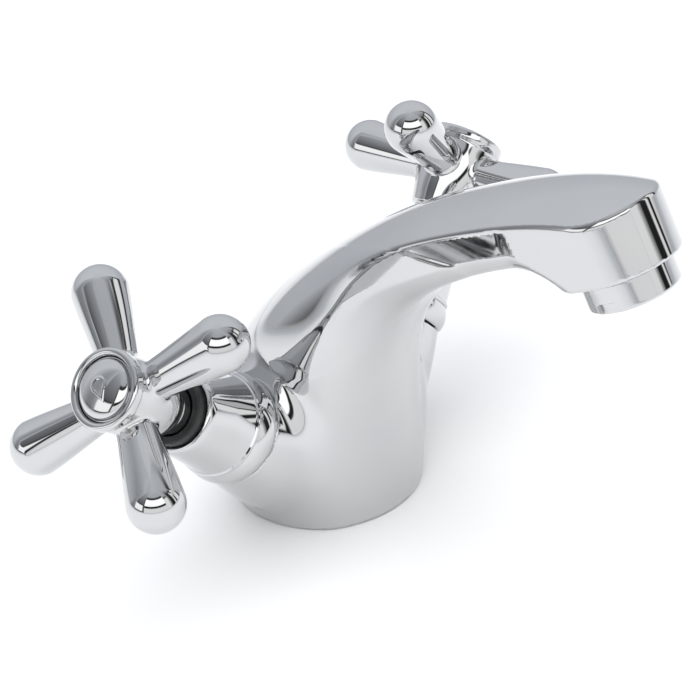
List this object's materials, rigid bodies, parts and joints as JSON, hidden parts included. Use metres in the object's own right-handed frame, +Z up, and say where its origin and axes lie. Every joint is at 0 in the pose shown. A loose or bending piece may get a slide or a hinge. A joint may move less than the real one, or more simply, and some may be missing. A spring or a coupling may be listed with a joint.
{
  "type": "basin mixer tap",
  "caption": "Chrome deck-mounted bathroom basin mixer with an arched spout, round base, two angled cross-head quarter-turn valves and an aerator outlet.",
  "frame": {"origin": "centre of the round base, on the face that sits on the deck", "axes": "+Z up from the deck, spout reaches along -Y, cold valve at +X and hot valve at -X"},
  "size_m": [0.1758, 0.1458, 0.1105],
  "materials": {
    "chrome": "polished",
    "brass": "machined",
    "black_rubber": "matte",
    "ceramic": "lapped",
    "spring_steel": "bright",
    "white_plastic": "moulded"
  },
  "bodies": {
    "base": {"body_casting": "chrome", "base_gasket": "black_rubber", "aerator_housing": "chrome", "aerator_insert": "white_plastic", "aerator_screen": "white_plastic", "aerator_washer": "black_rubber", "hot_cartridge": "brass", "hot_cartridge_gasket": "black_rubber", "hot_seat_seal": "black_rubber", "hot_fixed_disc": "ceramic", "hot_shroud": "chrome", "hot_shroud_ring": "black_rubber", "cold_cartridge": "brass", "cold_cartridge_gasket": "black_rubber", "cold_seat_seal": "black_rubber", "cold_fixed_disc": "ceramic", "cold_shroud": "chrome", "cold_shroud_ring": "black_rubber"},
    "hot_valve": {"hot_moving_disc": "ceramic", "hot_spindle": "brass", "hot_stem_rings": "black_rubber", "hot_circlip": "spring_steel", "hot_handle": "chrome", "hot_handle_screw": "spring_steel", "hot_index_cap": "chrome"},
    "cold_valve": {"cold_moving_disc": "ceramic", "cold_spindle": "brass", "cold_stem_rings": "black_rubber", "cold_circlip": "spring_steel", "cold_handle": "chrome", "cold_handle_screw": "spring_steel", "cold_index_cap": "chrome"}
  },
  "joints": [
    {"name": "hot_turn", "type": "hinge", "parent": "base", "child": "hot_valve", "pos_m": [-0.06473, 0, 0.06125], "axis": [-0.7548, 0, 0.6559], "range_deg": [0, 90]},
    {"name": "cold_turn", "type": "hinge", "parent": "base", "child": "cold_valve", "pos_m": [0.06473, 0, 0.06125], "axis": [0.7548, 0, 0.6559], "range_deg": [0, 90]}
  ]
}
